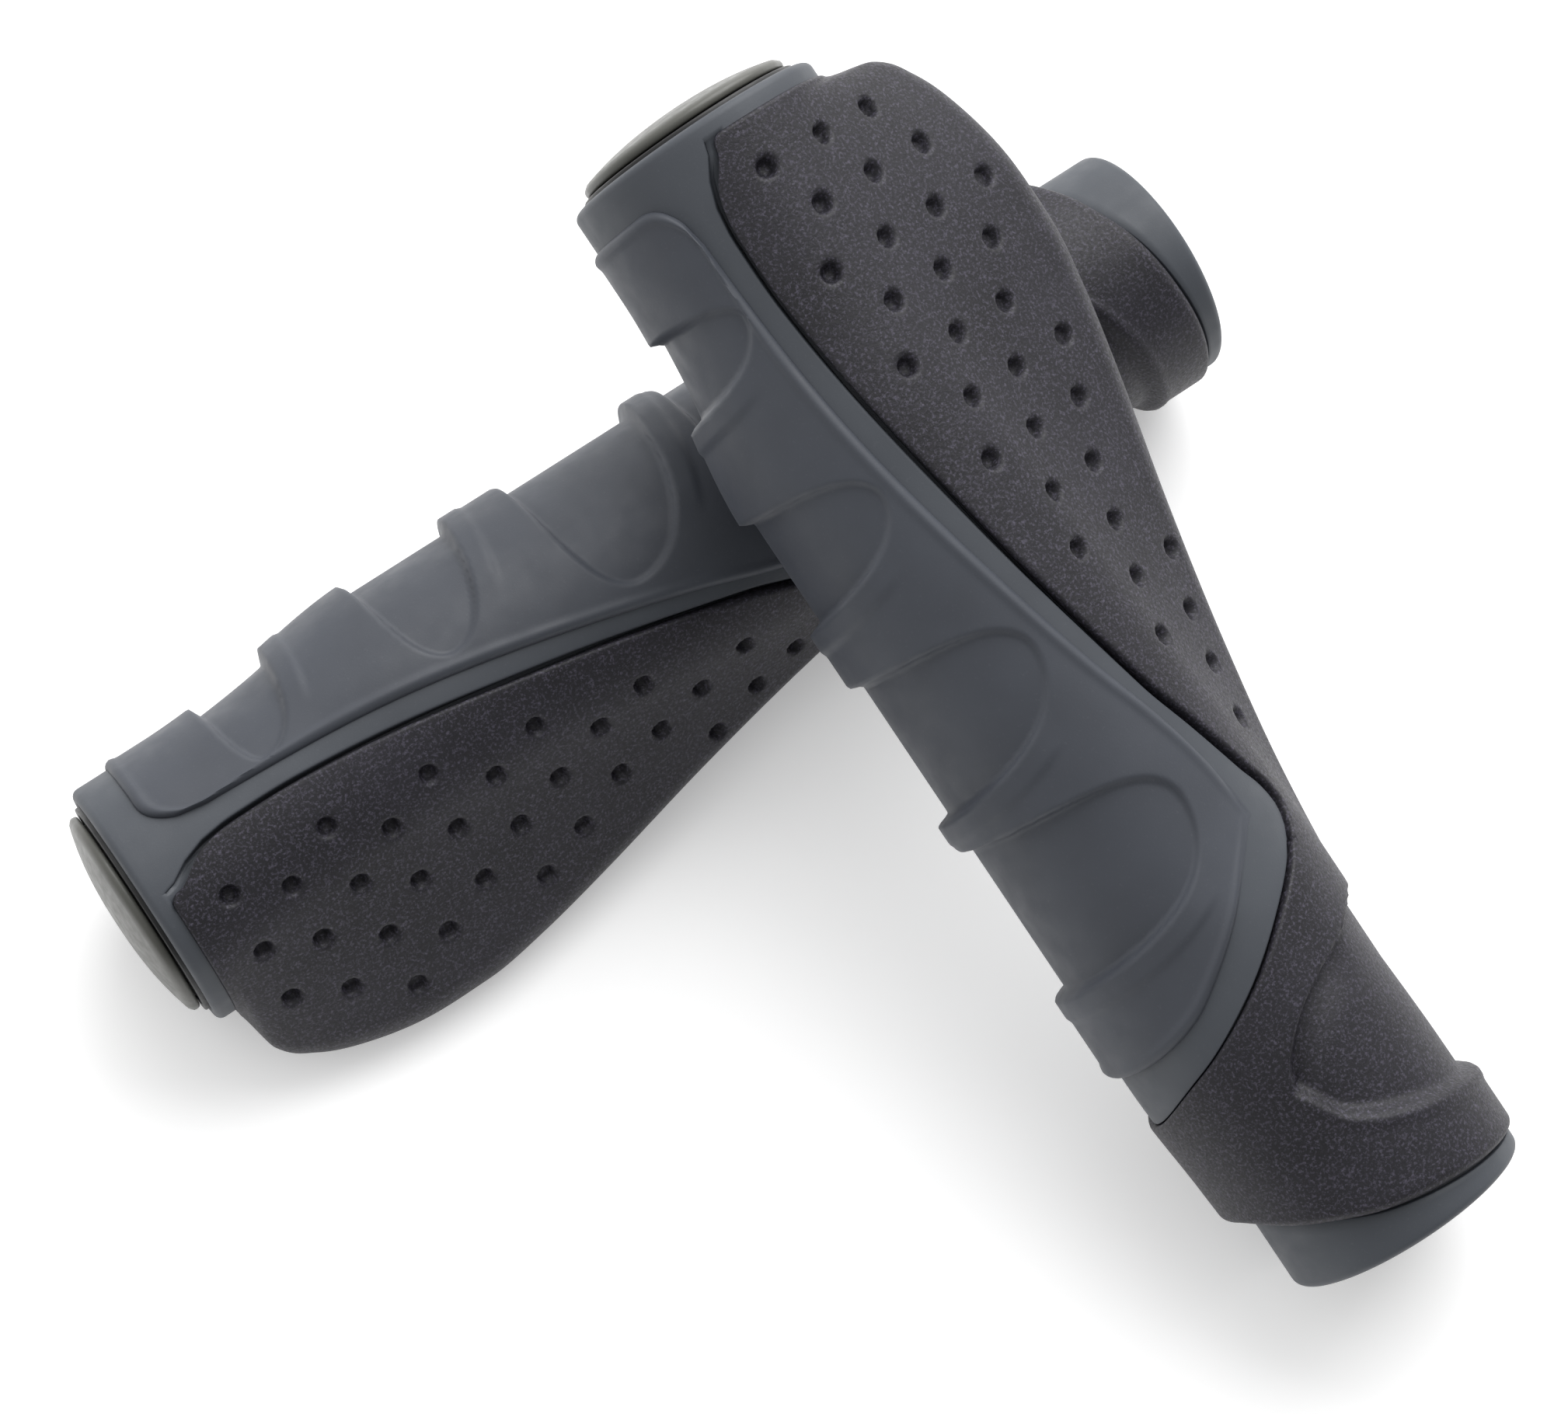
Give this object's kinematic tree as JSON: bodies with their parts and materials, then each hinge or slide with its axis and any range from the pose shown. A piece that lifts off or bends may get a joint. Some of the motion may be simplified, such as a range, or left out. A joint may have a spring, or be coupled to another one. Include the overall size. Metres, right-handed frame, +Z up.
{
  "type": "bar end grips",
  "caption": "Pair of ergonomic bicycle handlebar grips, left and right, with winged dimpled palm pads, finger panels and domed end plugs, lying crossed.",
  "frame": {"origin": "middle of the pair at floor level: the bottom centre of its bounding box", "axes": "+Z up; the left grip lies along X with its outboard end towards -X and its palm wing towards -Y; the right grip points along +Y and upwards with its palm wing towards +X"},
  "size_m": [0.1384, 0.1378, 0.0704],
  "materials": {
    "core_plastic": "moulded black polypropylene, fine grain",
    "base_rubber": "smooth matt blue-grey elastomer",
    "panel_rubber": "smooth matt grey elastomer, slightly greener than the base",
    "pad_rubber": "fine grained charcoal elastomer with pits",
    "gel": "soft translucent gel",
    "collar_plastic": "dark moulded nylon",
    "cap_plastic": "warm grey moulded plastic, satin",
    "wedge_brass": "turned brass",
    "washer_steel": "zinc plated",
    "screw_steel": "zinc plated"
  },
  "bodies": {
    "left_grip": {"left_core_sleeve": "core_plastic", "left_grip_body": "base_rubber", "left_finger_panel": "panel_rubber", "left_palm_pad": "pad_rubber", "left_gel_insert": "gel"},
    "left_plug": {"left_plug_collar": "collar_plastic", "left_plug_washer": "washer_steel"},
    "left_cap": {"left_plug_cap": "cap_plastic"},
    "left_screw": {"left_plug_screw": "screw_steel"},
    "left_wedge": {"left_plug_wedge": "wedge_brass"},
    "right_grip": {"right_core_sleeve": "core_plastic", "right_grip_body": "base_rubber", "right_finger_panel": "panel_rubber", "right_palm_pad": "pad_rubber", "right_gel_insert": "gel"},
    "right_plug": {"right_plug_collar": "collar_plastic", "right_plug_washer": "washer_steel"},
    "right_cap": {"right_plug_cap": "cap_plastic"},
    "right_screw": {"right_plug_screw": "screw_steel"},
    "right_wedge": {"right_plug_wedge": "wedge_brass"}
  },
  "joints": [
    {"name": "left_plug_pull", "type": "slide", "parent": "left_grip", "child": "left_plug", "axis": [-1, 0, 0], "range_m": [0, 0.03]},
    {"name": "left_cap_snap", "type": "slide", "parent": "left_plug", "child": "left_cap", "axis": [-1, 0, 0], "range_m": [0, 0.012]},
    {"name": "left_screw_turn", "type": "hinge", "parent": "left_plug", "child": "left_screw", "pos_m": [-0.06382, 0.03905, 0.01517], "axis": [-1, 0, 0], "range_deg": [0, 720]},
    {"name": "left_wedge_draw", "type": "slide", "parent": "left_plug", "child": "left_wedge", "axis": [-1, 0, 0], "range_m": [-0.0016, 0]},
    {"name": "right_grip_lift", "type": "slide", "parent": "left_grip", "child": "right_grip", "axis": [0, 0, 1], "range_m": [0, 0.08]},
    {"name": "right_plug_pull", "type": "slide", "parent": "right_grip", "child": "right_plug", "axis": [-0.0198, 0.9447, 0.3272], "range_m": [0, 0.03]},
    {"name": "right_cap_snap", "type": "slide", "parent": "right_plug", "child": "right_cap", "axis": [-0.0198, 0.9447, 0.3272], "range_m": [0, 0.012]},
    {"name": "right_screw_turn", "type": "hinge", "parent": "right_plug", "child": "right_screw", "pos_m": [0.02294, 0.061, 0.05631], "axis": [-0.0198, 0.9447, 0.3272], "range_deg": [0, 720]},
    {"name": "right_wedge_draw", "type": "slide", "parent": "right_plug", "child": "right_wedge", "axis": [-0.0198, 0.9447, 0.3272], "range_m": [-0.0016, 0]}
  ],
  "couplings": [
    {"joint": "left_screw_turn", "follows": "left_wedge_draw", "rad_per_m": -7854},
    {"joint": "right_screw_turn", "follows": "right_wedge_draw", "rad_per_m": -7854}
  ]
}
